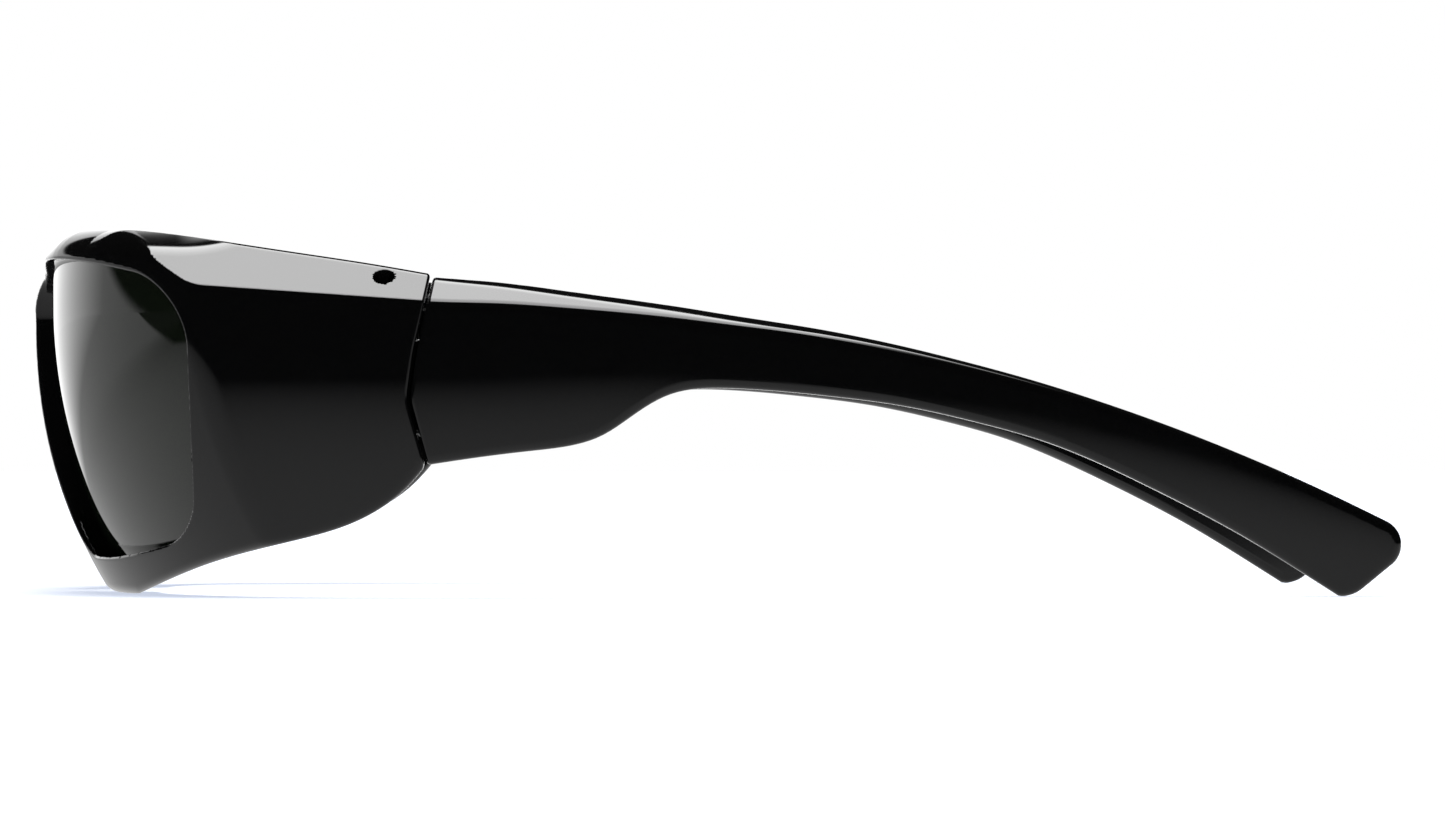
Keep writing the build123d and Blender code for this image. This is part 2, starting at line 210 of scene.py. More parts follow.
@dataclass(frozen=True)
class Casting:
    """Turns a solid given as a field into a fine mesh of four-sided faces.

    Attributes:
        name: piece name.
        field: signed distance in millimetres, negative inside.
        grid: X, Y and Z of a three-way grid round the solid, as arrays that broadcast.
    """

    name: str
    field: Field
    grid: tuple[Array, Array, Array]

    def _sample(self) -> Array:
        """Field values at the grid's points."""
        shape = np.broadcast_shapes(*(axis.shape for axis in self.grid))
        return np.broadcast_to(self.field(*self.grid), shape)

    def _cells(self, values: Array) -> tuple[Array, Array]:
        """Cells that the surface crosses, and the middle of its crossings in each."""
        inside = values < 0
        count = np.zeros([n - 1 for n in inside.shape], np.int8)
        corners = [(i, j, k) for i in (0, 1) for j in (0, 1) for k in (0, 1)]
        nx, ny, nz = count.shape
        for i, j, k in corners:
            count += inside[i:i + nx, j:j + ny, k:k + nz]
        cells = np.argwhere((count > 0) & (count < 8))
        held = {c: values[tuple((cells + c).T)] for c in corners}
        full = [np.broadcast_to(axis, values.shape) for axis in self.grid]
        spot = {c: np.stack([a[tuple((cells + c).T)] for a in full], 1) for c in corners}
        total, hits = np.zeros((len(cells), 3)), np.zeros(len(cells))
        for start in corners:
            for axis in range(3):
                if start[axis]:
                    continue
                end = tuple(1 if i == axis else start[i] for i in range(3))
                a, b = held[start], held[end]
                crossed = (a < 0) != (b < 0)
                share = np.where(crossed, a / np.where(crossed, a - b, 1.0), 0.0)[:, None]
                point = spot[start] * (1 - share) + spot[end] * share
                total += point * crossed[:, None]
                hits += crossed
        return cells, total / hits[:, None]

    def _faces(self, values: Array, cells: Array) -> Array:
        """Four cells round every grid edge that the surface crosses."""
        inside = values < 0
        number = np.full([n - 1 for n in values.shape], -1, np.int64)
        number[tuple(cells.T)] = np.arange(len(cells))
        faces = []
        for axis in range(3):
            u, v = (axis + 1) % 3, (axis + 2) % 3
            first = np.take(inside, range(inside.shape[axis] - 1), axis)
            second = np.take(inside, range(1, inside.shape[axis]), axis)
            edges = np.argwhere(first != second)
            edges = edges[(edges[:, u] > 0) & (edges[:, v] > 0)]
            step_u, step_v = np.eye(3, dtype=int)[u], np.eye(3, dtype=int)[v]
            ring = [edges - step_u - step_v, edges - step_v, edges, edges - step_u]
            quad = np.stack([number[tuple(r.T)] for r in ring], axis=1)
            outward = first[tuple(edges.T)]
            quad[~outward] = quad[~outward][:, ::-1]
            faces.append(quad)
        return np.concatenate(faces)

    def _gradient(self, p: Array) -> Array:
        """Slope of the field at scattered points."""
        step = 0.02
        slope = np.empty_like(p)
        for axis in range(3):
            ahead, back = p.copy(), p.copy()
            ahead[:, axis] += step
            back[:, axis] -= step
            slope[:, axis] = (self.field(*ahead.T) - self.field(*back.T)) / (2 * step)
        return slope

    def _settle(self, p: Array) -> tuple[Array, Array]:
        """Points moved onto the surface, and the surface's normals there."""
        longest = 0.12
        for _ in range(4):
            slope = self._gradient(p)
            size = np.maximum((slope ** 2).sum(axis=1), 0.05)
            move = -self.field(*p.T)[:, None] * slope / size[:, None]
            length = np.linalg.norm(move, axis=1, keepdims=True)
            p = p + move * np.minimum(1.0, longest / np.maximum(length, 1e-9))
        slope = self._gradient(p)
        return p, slope / np.maximum(np.linalg.norm(slope, axis=1, keepdims=True), 1e-9)

    def make(self) -> bpy.types.Object:
        """Meshes the field.

        Returns:
            The new object, in metres, with the field's own normals.
        """
        values = self._sample()
        cells, points = self._cells(values)
        faces = self._faces(values, cells)
        points, normals = self._settle(points)
        return mesh_object(self.name, points * MM, faces, normals)


def mesh_object(
    name: str, points: Array, faces: Array, normals: Array | None = None
) -> bpy.types.Object:
    """Makes a smooth mesh object from arrays.

    Args:
        name: piece name.
        points: one row of three coordinates for each vertex, metres.
        faces: one row of vertex numbers for each face.
        normals: one row for each vertex, or None for Blender's own.

    Returns:
        The object, linked to the scene.
    """
    mesh = bpy.data.meshes.new(name)
    size = faces.shape[1]
    mesh.vertices.add(len(points))
    mesh.vertices.foreach_set("co", points.astype(np.float32).ravel())
    mesh.loops.add(faces.size)
    mesh.loops.foreach_set("vertex_index", faces.astype(np.int32).ravel())
    mesh.polygons.add(len(faces))
    mesh.polygons.foreach_set("loop_start", np.arange(0, faces.size, size, dtype=np.int32))
    mesh.update(calc_edges=True)
    mesh.validate()
    mesh.polygons.foreach_set("use_smooth", np.ones(len(mesh.polygons), bool))
    if normals is not None:
        mesh.normals_split_custom_set_from_vertices(normals.tolist())
    made = bpy.data.objects.new(name, mesh)
    bpy.context.scene.collection.objects.link(made)
    return made


# --- finishes


def linear(colour: str) -> tuple[float, float, float, float]:
    """Turns an sRGB hex colour such as "#101010" into linear RGBA."""
    parts = [int(colour[i:i + 2], 16) / 255 for i in (1, 3, 5)]
    curve = [c / 12.92 if c <= 0.04045 else ((c + 0.055) / 1.055) ** 2.4 for c in parts]
    return (curve[0], curve[1], curve[2], 1.0)


def add_node(
    tree: Tree, kind: str, settings: dict[str, object], **inputs: object
) -> bpy.types.Node:
    """Adds one shader node.

    Args:
        tree: node tree that gets it.
        kind: Blender's class name of the node, without "ShaderNode".
        settings: attributes set on the node itself.
        inputs: socket values or links. A space in a socket's name is written "_", and "_0"
            is the first socket.

    Returns:
        The node.
    """
    made = tree.nodes.new("ShaderNode" + kind)
    for key, value in settings.items():
        setattr(made, key, value)
    for key, value in inputs.items():
        place = int(key[1:]) if key[1:].isdigit() else key.replace("_", " ")
        socket = made.inputs[place]
        if isinstance(value, Socket):
            tree.links.new(value, socket)
        else:
            socket.default_value = value
    return made


def ramp(
    tree: Tree, value: Socket, span: Pair,
    low: float, high: float, soft: bool = True,
) -> Socket:
    """Goes from low to high while the value crosses the span, and is held beyond it."""
    made = add_node(
        tree, "MapRange", SOFT_RAMP if soft else {}, Value=value, From_Min=span[0],
        From_Max=span[1], To_Min=low, To_Max=high,
    )
    return made.outputs[0]


def work_out(
    tree: Tree, operation: str, *values: Socket | float
) -> Socket:
    """Adds one step of arithmetic and returns its result."""
    sockets = {f"_{number}": value for number, value in enumerate(values)}
    return add_node(tree, "Math", {"operation": operation}, **sockets).outputs[0]


def noise(tree: Tree, place: Socket, size_mm: float, detail: float) -> Socket:
    """Adds a noise with blobs of about the given size."""
    scale = 1 / (size_mm * MM)
    made = add_node(tree, "TexNoise", {}, Vector=place, Scale=scale, Detail=detail)
    return made.outputs["Fac"]


def relief(tree: Tree, height: Socket, strength: float, depth_mm: float) -> Socket:
    """Turns a height pattern into a bumpy normal."""
    depth = depth_mm * MM
    made = add_node(tree, "Bump", {}, Height=height, Strength=strength, Distance=depth)
    return made.outputs["Normal"]


def new_material(name: str) -> tuple[Material, Tree]:
    """Makes an empty node material and returns it with its tree."""
    made = bpy.data.materials.new(name)
    made.use_nodes = True
    made.node_tree.nodes.clear()
    return made, made.node_tree


@dataclass(frozen=True)
class PolishedPolyamide:
    """Black polyamide, injection moulded in a polished tool.

    It reads as a deep black mirror: a sharp but weak reflection, with the faint waviness
    that shrinkage leaves over thick spots and a few specks of dust held by static.
    """

    colour: str = "#080808"
    dust_colour: str = "#8f8f8c"
    roughness: float = 0.05
    wear: float = 1.8          # how much rougher the handled patches are
    ior: float = 1.53
    shine: float = 0.42        # strength of the reflection; 0.5 is a clean surface's
    wave_mm: float = 14.0      # spacing of the shrinkage waves
    handled_mm: float = 9.0    # size of the handled patches
    dust_mm: float = 7.0       # spacing of the dust specks
    speck_mm: float = 0.11     # real specks are half this size; drawn larger to show

    def build(self) -> Material:
        """Builds the material."""
        made, tree = new_material("polished_black_polyamide")
        place = add_node(tree, "TexCoord", {}).outputs["Object"]
        bump = relief(tree, noise(tree, place, self.wave_mm, 1.0), 0.06, 0.1)
        handled = noise(tree, place, self.handled_mm, 3.0)
        worn = self.roughness * self.wear
        gloss = ramp(tree, handled, (0.35, 0.75), self.roughness, worn, False)
        dots = add_node(
            tree, "TexVoronoi", {"feature": "F1"}, Vector=place, Scale=1 / (self.dust_mm * MM)
        )
        size = self.speck_mm / self.dust_mm
        speck = work_out(tree, "LESS_THAN", dots.outputs["Distance"], size)
        colour = add_node(
            tree, "Mix", {"data_type": "RGBA"}, _0=speck,
            _6=linear(self.colour), _7=linear(self.dust_colour),
        )
        shader = add_node(
            tree, "BsdfPrincipled", {}, Base_Color=colour.outputs[2],
            Roughness=gloss, IOR=self.ior, Normal=bump,
            Specular_IOR_Level=self.shine,
        )
        add_node(tree, "OutputMaterial", {}, Surface=shader.outputs[0])
        return made


@dataclass(frozen=True)
class ShadedPolycarbonate:
    """Dark green welding-shade polycarbonate, moulded and dip-coated with a hard coat.

    Almost no light gets through, so it reads as a very smooth dark mirror with a green cast.
    """

    colour: str = "#0b0f08"
    coat_colour: str = "#0e140b"
    roughness: float = 0.015
    ior: float = 1.586
    wave_mm: float = 30.0      # slow unevenness of the dipped coat

    def build(self) -> Material:
        """Builds the material."""
        made, tree = new_material("welding_shade_polycarbonate")
        place = add_node(tree, "TexCoord", {}).outputs["Object"]
        wave = noise(tree, place, self.wave_mm, 0.0)
        bump = relief(tree, wave, 0.03, 0.1)
        tint = add_node(
            tree, "Mix", {"data_type": "RGBA"}, _0=wave,
            _6=linear(self.colour), _7=linear(self.coat_colour),
        )
        shader = add_node(
            tree, "BsdfPrincipled", {}, Base_Color=tint.outputs[2], Roughness=self.roughness,
            IOR=self.ior, Normal=bump,
        )
        add_node(tree, "OutputMaterial", {}, Surface=shader.outputs[0])
        return made


@dataclass(frozen=True)
class TurnedSteel:
    """Stainless steel wire, drawn and turned: rings round the axis dull the shine a little."""

    colour: str = "#a9a9ab"
    roughness: float = 0.32
    ring_mm: float = 0.15      # feed of the turning tool

    def build(self) -> Material:
        """Builds the material."""
        made, tree = new_material("turned_stainless_steel")
        place = add_node(tree, "TexCoord", {}).outputs["Object"]
        rings = add_node(
            tree, "TexWave", {"bands_direction": "Z"}, Vector=place,
            Scale=1 / (20 * self.ring_mm * MM), Distortion=0.4,
        )
        bump = relief(tree, rings.outputs["Fac"], 0.3, 0.02)
        shader = add_node(
            tree, "BsdfPrincipled", {}, Base_Color=linear(self.colour), Metallic=1.0,
            Roughness=self.roughness, Normal=bump,
        )
        add_node(tree, "OutputMaterial", {}, Surface=shader.outputs[0])
        return made


@dataclass(frozen=True)
class SoftRubber:
    """Black thermoplastic rubber from a spark-eroded tool: fine even grain, no shine."""

    colour: str = "#141414"
    roughness: float = 0.62
    grain_mm: float = 0.3      # real grain is about 0.1 mm; drawn coarser to show

    def build(self) -> Material:
        """Builds the material."""
        made, tree = new_material("soft_black_rubber")
        place = add_node(tree, "TexCoord", {}).outputs["Object"]
        bump = relief(tree, noise(tree, place, self.grain_mm, 2.0), 0.5, 0.04)
        shader = add_node(
            tree, "BsdfPrincipled", {}, Base_Color=linear(self.colour),
            Roughness=self.roughness, IOR=1.5, Normal=bump,
        )
        add_node(tree, "OutputMaterial", {}, Surface=shader.outputs[0])
        return made


@dataclass(frozen=True)
class TablePaper:
    """White backdrop paper on the table.

    In reflections it shows a painted glow instead of its lit colour: painted light that fades
    out with distance, as the light on it does.
    """

    colour: str = "#f4f4f4"
    near: float = 0.80         # painted glow brightness beside the spectacles, seen only in reflections
    fade_mm: float = 380.0     # distance over which it falls to a third
    far_side: float = 1.9      # painted glow brightness behind them, towards the backdrop
    far_edge: float = 0.55     # and off to the side of that
    behind: Pair = (-0.10, 0.0)      # where "behind them" starts
    end: Pair = (-0.44, -0.37)       # where the paper ends in front
    spread: float = 2.2        # how fast it widens towards the backdrop
    unlit: float = 0.06        # share of the painted glow past that end
    fill: float = 0.75         # painted fill light: a pale blue glow that the paper shows even in shadow
    fill_colour: str = "#e2ebff"

    def build(self) -> Material:
        """Builds the material."""
        made, tree = new_material("white_table_paper")
        place = add_node(tree, "NewGeometry", {}).outputs["Position"]
        reach = add_node(tree, "VectorMath", {"operation": "LENGTH"}, _0=place)
        distance = reach.outputs["Value"]
        fall = work_out(tree, "MULTIPLY", distance, -1 / (self.fade_mm * MM))
        fade = work_out(tree, "EXPONENT", fall)
        near = work_out(tree, "MULTIPLY", fade, self.near)
        across = add_node(tree, "SeparateXYZ", {}, Vector=place)
        behind = ramp(tree, across.outputs["X"], self.behind, 1.0, 0.0)
        bearing = work_out(tree, "DIVIDE", across.outputs["X"], distance)
        far = ramp(tree, bearing, PAPER_SPAN, self.far_side, self.far_edge, False)
        strength = add_node(
            tree, "Mix", {"data_type": "FLOAT"}, _0=behind, _2=near, _3=far
        ).outputs[0]
        left = work_out(tree, "MINIMUM", across.outputs["X"], 0.0)
        spread = work_out(tree, "MULTIPLY", left, self.spread)
        edge = work_out(tree, "SUBTRACT", across.outputs["Y"], spread)
        lit = ramp(tree, edge, self.end, self.unlit, 1.0)
        shown = work_out(tree, "MULTIPLY", strength, lit)
        # painted light: reflections see a glow whose strength fades with distance, not the lit
        # paper
        painted_reflection_glow = add_node(tree, "Emission", {}, Strength=shown)
        paper = add_node(tree, "BsdfDiffuse", {}, Color=linear(self.colour))
        # painted fill light: a pale blue glow added on top of the lit paper, so shadows read
        # faint and bluish
        glow = add_node(tree, "Emission", {}, Color=linear(self.fill_colour), Strength=self.fill)
        plain = add_node(tree, "AddShader", {}, _0=paper.outputs[0], _1=glow.outputs[0])
        glossy = add_node(tree, "LightPath", {}).outputs["Is Glossy Ray"]
        both = add_node(
            tree, "MixShader", {}, _0=glossy, _1=plain.outputs[0], _2=painted_reflection_glow.outputs[0]
        )
        add_node(tree, "OutputMaterial", {}, Surface=both.outputs[0])
        return made


def dress(
    piece: bpy.types.Object, finish: Material, body: Body
) -> None:
    """Gives a piece its material and body, and reports it."""
    piece.data.materials.clear()
    piece.data.materials.append(finish)
    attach(piece, body.value)
    LOG.info("%s: %d faces", piece.name, len(piece.data.polygons))


# --- shared layout


@dataclass(frozen=True)
class Layout:
    """Places that several pieces share, in millimetres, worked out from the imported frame.

    Attributes:
        pin_x: hinge axis, out from the middle.
        pin_y: hinge axis, front to back.
        table_z: table that the spectacles stand on.
        pin_ahead: hinge axis in front of the parting line.
        front_depth: brow front to parting line.
        barrel_radius: crown of the side shields and temples, up and down.
        barrel_z: height where the side shield is widest.
        roof_angle: slope over the side shields and temples, from level.
        parting_gap: gap between side shield and temple.
        parting_heights: heights at which the parting line bends.
        parting_depths: how far behind its foot the parting line is at each.
        softening: the bends are averaged over this much above and below.
    """

    pin_x: float
    pin_y: float
    table_z: float
    pin_ahead: float = 5.0
    front_depth: float = 49.0
    barrel_radius: float = 99.0
    barrel_z: float = 26.8
    roof_angle: float = math.radians(33.0)
    parting_gap: float = 0.35
    parting_heights: tuple[float, ...] = (15.6, 23.6, 28.9, 35.6, 38.5)
    parting_depths: tuple[float, ...] = (0.0, -2.2, -1.5, 0.0, 0.6)
    softening: float = 0.7

    @property
    def parting_y(self) -> float:
        """Parting line between the side shields and the temples."""
        return self.pin_y + self.pin_ahead

    @property
    def front_y(self) -> float:
        """Foremost point of the brow."""
        return self.parting_y - self.front_depth

    def parting(self, z: Array) -> Array:
        """Rear end of the side shield at each height: a shallow V that points forward."""
        total = 0.0
        for step in (-self.softening, 0.0, self.softening):
            total = total + np.interp(z + step, self.parting_heights, self.parting_depths) / 3
        return self.parting_y + total


# --- front


@dataclass(frozen=True)
class FrontShell:
    """The one-piece front: rims, brow, bridge, side shields, hinge lugs and nasal flanges.

    The curves are seen from the side (brow, belly) and from the front (arch). Depths are
    measured back from the brow's foremost point, and X out from the middle.
    """

    layout: Layout
    rim_radius: float = 66.16
    rim_centre: Triple = (19.8, 66.16, 35.0)
    lens_radius: float = 66.06
    lens_centre: Triple = (21.8, 69.06, 35.0)
    rim_back: float = 3.6
    wall_thickness: float = 2.3
    wall_front: Pair = (69.0, 24.3)
    wall_rear: Pair = (72.4, 49.0)
    ridge_front: Triple = (69.0, 23.4, 36.6)
    ridge_rear: Triple = (72.4, 49.0, 35.0)
    corner_radius: float = 5.0
    brow_radius: float = 4.0
    brow_swell: float = 2.8
    bridge_taper: float = 3.0
    brow_taper: float = 2.8
    ridge_radius: float = 0.5
    crest_radius: float = 6.0
    edge_radius: float = 0.45
    rim_edge_radius: float = 0.6
    nasal_lip: float = 0.3
    opening_radius: float = 4.0
    temple_corner: float = 8.0
    nose_top: Pair = (6.0, 29.4)
    nose_slant: float = 2.235
    nose_radius: float = 5.0
    pad_depth: float = 10.6
    pad_z: float = 16.75
    flange: Triple = (17.0, 9.0, 2.4)
    knuckle: Pair = (19.05, 30.95)
    lug_radius: float = 3.0
    lug_bottom: float = 15.2
    turn_radius: float = 2.95
    bore_radius: float = 1.2
    coarse: float = 1.0
    brow: Curve = Curve([(-6.0, 44.2), (6.0, 44.2), (13.0, 44.0), (20.7, 43.1), (27.9, 42.0),
                         (35.1, 40.9), (42.2, 39.8), (49.6, 38.5)])
    arch: Curve = Curve([(-1.0, 40.9), (12.0, 40.9), (26.0, 42.3), (40.0, 44.2), (49.0, 44.6),
                         (55.0, 43.6), (60.0, 42.0), (66.0, 39.8), (90.0, 30.0)])
    belly: Curve = Curve([(14.0, 0.0), (22.5, 3.7), (34.1, 6.9), (44.0, 10.8), (47.3, 13.6),
                          (49.0, 15.6)])

    def opening(self, x: Array, z: Array) -> Array:
        """Signed distance to the lens opening, seen from the front."""
        top = Arc((11.5, 37.0), (40.0, 40.5), (67.0, 37.2)).inside(x, z)
        base = Arc((59.2, 7.2), (42.0, 4.7), (24.0, 5.2)).inside(x, z)
        nasal = Arc((24.0, 5.2), (16.6, 20.0), (11.5, 37.0)).inside(x, z)
        outer = Arc((67.0, 37.2), (65.8, 22.0), (59.2, 7.2)).inside(x, z)
        shape = round_max(top, outer, self.temple_corner, 0.1)
        shape = round_max(shape, base, self.opening_radius, 0.1)
        return round_max(shape, nasal, self.opening_radius, -0.2)

    def roof(self, x: Array, y: Array, z: Array) -> Array:
        """Signed height above the slope over the side shield."""
        rear, front = np.array(self.ridge_rear), np.array(self.ridge_front)
        along = (front - rear) / np.linalg.norm(front - rear)
        slope = self.layout.roof_angle
        inward = np.array([-math.cos(slope), 0, math.sin(slope)])
        up = np.cross(inward, along)
        up = up / np.linalg.norm(up)
        rear_y = self.layout.front_y + rear[1]
        return (x - rear[0]) * up[0] + (y - rear_y) * up[1] + (z - rear[2]) * up[2]

    def wall(self, x: Array, y: Array, z: Array, inset: float) -> Array:
        """Signed distance to the barrel of the side shield, moved inward by the inset."""
        run = np.array(self.wall_rear) - np.array(self.wall_front)
        run = run / np.linalg.norm(run)
        out = (x - self.wall_front[0]) * run[1]
        out = out - (y - self.layout.front_y - self.wall_front[1]) * run[0]
        radius = self.layout.barrel_radius
        return np.hypot(out + radius, z - self.layout.barrel_z) - radius + inset

    def ball(self, x: Array, y: Array, z: Array, centre: tuple, radius: float) -> Array:
        """Signed distance to a sphere whose centre is given from the brow front."""
        dy = y - self.layout.front_y - centre[1]
        return np.sqrt((x - centre[0]) ** 2 + dy ** 2 + (z - centre[2]) ** 2) - radius

    def skin(self, x: Array, y: Array, z: Array) -> Array:
        """Signed distance to the filled-in outside of the front."""
        depth = y - self.layout.front_y
        rim = self.ball(x, y, z, self.rim_centre, self.rim_radius)
        body = round_max(rim, self.wall(x, y, z, 0.0), self.corner_radius, 0.8)
        lift = 0.17 * (soft_abs(depth - 23.0, 4.0) + depth - 23.0) / 2
        top = round_max(self.brow.above(depth, z), self.arch.above(x, z - lift), 1.0, 0.9)
        roof = self.roof(x, y, z)
        rolled = self.brow_radius + self.brow_swell * np.clip((42.0 - x) / 22.0, 0.0, 1.0)
        rolled = rolled - self.bridge_taper * np.clip((12.0 - x) / 9.0, 0.0, 1.0)
        rolled = rolled - self.brow_taper * np.clip((x - 50.0) / 12.0, 0.0, 1.0)
        shoulder = round_max(body, top, rolled)
        ridge = round_max(body, roof, self.ridge_radius, 0.5)
        crest = round_max(top, roof, self.crest_radius, 0.93)
        body = np.maximum(np.maximum(shoulder, ridge), crest)
        low = np.maximum(-self.belly.above(depth, z), self.layout.table_z - z)
        body = round_max(body, low, 1.1)
        return round_max(body, y - self.layout.parting(z), self.edge_radius)

    def hollow(self, x: Array, y: Array, z: Array) -> Array:
        """Signed distance to the room behind the front."""
        back = self.ball(x, y, z, self.lens_centre, self.lens_radius - self.rim_back)
        room = round_max(back, self.wall(x, y, z, self.wall_thickness), 3.0)
        return round_max(room, self.roof(x, y, z) + self.wall_thickness, 1.5)

    def post(self, x: Array, y: Array, z: Array) -> Array:
        """Signed distance to the lugs that hold the hinge pin."""
        dx, dy = x - self.layout.pin_x, y - self.layout.pin_y
        size = self.lug_radius
        lug = np.hypot(dx, dy) - size
        web = np.maximum(slab(dx, -size, 3 * size), slab(dy, -2 * size, 0.0))
        heel = np.maximum(slab(dx, 0.0, 2 * size), slab(dy, -size, size))
        plan = np.minimum(np.minimum(lug, web), heel)
        return round_max(plan, self.lug_bottom - z, 0.5)

    def slot(self, x: Array, y: Array, z: Array) -> Array:
        """Signed distance to the room that the temple's knuckle turns in."""
        dx, dy = x - self.layout.pin_x, y - self.layout.pin_y
        turn = np.hypot(dx, dy) - self.turn_radius
        back = np.maximum(slab(dx, -self.turn_radius, self.turn_radius), -dy)
        inner = np.maximum(slab(dx, -6.0, 0.0), slab(dy, -3.5, 8.5))
        plan = np.minimum(np.minimum(turn, back), inner)
        room = np.maximum(plan, slab(z, *self.knuckle))
        corner = np.maximum(np.maximum(dx + 1.9, 3.2 - dy), self.knuckle[1] - 1.0 - z)
        return np.minimum(room, corner)

    def pad_seat(self, x: Array, y: Array, z: Array) -> tuple[Array, Array, Array]:
        """Distances along the nose pad's seat, out from it and across it."""
        slant = math.hypot(self.nose_slant, 1.0)
        seat_x = self.nose_top[0] + (self.nose_top[1] - self.pad_z) / self.nose_slant
        along = ((x - seat_x) - (z - self.pad_z) * self.nose_slant) / slant
        out = -((x - seat_x) * self.nose_slant + (z - self.pad_z)) / slant
        return along, out, y - self.layout.front_y - self.pad_depth

    def nasal_flange(self, x: Array, y: Array, z: Array) -> Array:
        """Signed distance to the flange that carries the nose pad."""
        along, out, across = self.pad_seat(x, y, z)
        length, width, thick = self.flange
        ends = round_max(np.abs(along) - length / 2, np.abs(across) - width / 2, 2.5)
        return round_max(ends, np.abs(out + thick / 2) - thick / 2, 0.6)

    def field(self, x: Array, y: Array, z: Array) -> Array:
        """Signed distance to the finished front."""
        far = soft_abs(x, 5.0)
        room = round_max(self.hollow(far, y, z), -self.post(far, y, z), 0.5)
        solid = round_max(self.skin(far, y, z), -room, 0.7)
        lip = self.rim_edge_radius + self.nasal_lip * np.clip((34.0 - far) / 14.0, 0.0, 1.0)
        solid = round_max(solid, -self.opening(far, z), lip)
        solid = round_min(solid, self.nasal_flange(far, y, z), 1.0)
        side = (far - self.nose_top[0]) * self.nose_slant + z - self.nose_top[1]
        side = side / math.hypot(self.nose_slant, 1.0)
        nose = round_max(z - self.nose_top[1], side, self.nose_radius)
        solid = round_max(solid, -nose, 0.8)
        solid = round_max(solid, -self.slot(far, y, z), 0.25)
        bore = np.hypot(far - self.layout.pin_x, y - self.layout.pin_y)
        bore = bore - self.bore_radius
        return round_max(solid, -bore, 0.15)

    def build(self, finish: Material) -> None:
        """Makes the front and dresses it."""
        half = stations([(0.3, 0.6), (8.0, 0.42), (25.0, 0.5), (30.0, 0.7), (54.0, 0.6),
                         (58.0, 0.3), (69.0, 0.26), (73.8, 0.3)], self.coarse)
        x = np.concatenate([-half[::-1], half])[:, None, None]
        z = stations([(-0.4, 0.3), (3.0, 0.33), (8.0, 0.25), (11.0, 0.3), (14.0, 0.7),
                      (30.0, 0.6), (34.0, 0.3), (44.8, 0.24)], self.coarse)[None, None, :]
        depth = stations([(-0.5, 0.4), (11.0, 0.45), (19.5, 0.25), (22.0, 0.25), (25.0, 0.8),
                          (39.0, 0.7), (41.0, 0.35), (47.0, 0.3), (48.3, 0.12), (49.6, 0.2)],
                         self.coarse)[None, :, None]
        layout = self.layout
        turned = np.clip((depth - 39.0) / 8.0, 0.0, 1.0)
        y = layout.front_y + depth + turned * (layout.parting(z) - layout.parting_y)
        shell = Casting("front_shell", self.field, (x, y, z)).make()
        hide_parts("front_frame")
        dress(shell, finish, Body.FRONT)


# --- lenses


@dataclass(frozen=True)
class Lens:
    """One spherical lens, its edge let into the rim."""

    front: FrontShell
    side: Side
    thickness: float = 2.1
    let_in: float = 0.6
    middle: Pair = (40.0, 22.5)
    rings: int = 40
    spokes: int = 180

    def _outline(self) -> Array:
        """Outline of the lens seen from the front, one point for each spoke."""
        turn = np.linspace(0, 2 * math.pi, self.spokes, endpoint=False)
        ray = np.stack([np.cos(turn), np.sin(turn)], axis=1)
        near, far = np.zeros(self.spokes), np.full(self.spokes, 60.0)
        for _ in range(30):
            half = (near + far) / 2
            spot = np.array(self.middle) + ray * half[:, None]
            inside = self.front.opening(spot[:, 0], spot[:, 1]) < self.let_in
            near, far = np.where(inside, half, near), np.where(inside, far, half)
        return np.array(self.middle) + ray * near[:, None]

    def _cap(self, radius: float, edge: Array) -> Array:
        """Rings of points on a sphere, from the middle of the lens to its edge."""
        share = np.linspace(0, 1, self.rings + 1)[1:, None, None]
        flat = np.array(self.middle) + share * (edge - np.array(self.middle))
        flat = np.concatenate([np.array([self.middle]), flat.reshape(-1, 2)])
        centre = self.front.lens_centre
        rise = radius ** 2 - (flat[:, 0] - centre[0]) ** 2 - (flat[:, 1] - centre[2]) ** 2
        y = self.front.layout.front_y + centre[1] - np.sqrt(rise)
        return np.stack([flat[:, 0], y, flat[:, 1]], axis=1)

    def build(self, finish: Material) -> None:
        """Makes the lens and dresses it."""
        edge = self._outline()
        radius = self.front.lens_radius
        outer, inner = self._cap(radius, edge), self._cap(radius - self.thickness, edge)
        count = len(outer)
        points = np.concatenate([outer, inner])
        points[:, 0] *= self.side.value
        spokes = np.arange(self.spokes)
        following = (spokes + 1) % self.spokes
        quads, tips = [], []
        for base, flip in ((0, 1), (count, -1)):
            tip = [np.full(self.spokes, base), base + 1 + following, base + 1 + spokes]
            tips.append(np.stack(tip, 1)[:, ::flip])
            for ring in range(self.rings - 1):
                a = base + 1 + ring * self.spokes
                b = a + self.spokes
                ribbon = [a + spokes, a + following, b + following, b + spokes]
                quads.append(np.stack(ribbon, 1)[:, ::flip])
        a = 1 + (self.rings - 1) * self.spokes
        b = a + count
        quads.append(np.stack([a + spokes, a + following, b + following, b + spokes], 1))
        lens = bpy.data.meshes.new(f"{self.side.word}_lens_body")
        faces = [list(map(int, f)) for part in quads + tips for f in part]
        if self.side is Side.RIGHT:
            faces = [f[::-1] for f in faces]
        lens.from_pydata((points * MM).tolist(), [], faces)
        lens.polygons.foreach_set("use_smooth", np.ones(len(lens.polygons), bool))
        lens.set_sharp_from_angle(angle=math.radians(40))
        piece = bpy.data.objects.new(f"{self.side.word}_lens_body", lens)
        bpy.context.scene.collection.objects.link(piece)
        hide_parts(f"{self.side.word}_lens")
        dress(piece, finish, Body.FRONT)


# --- temples


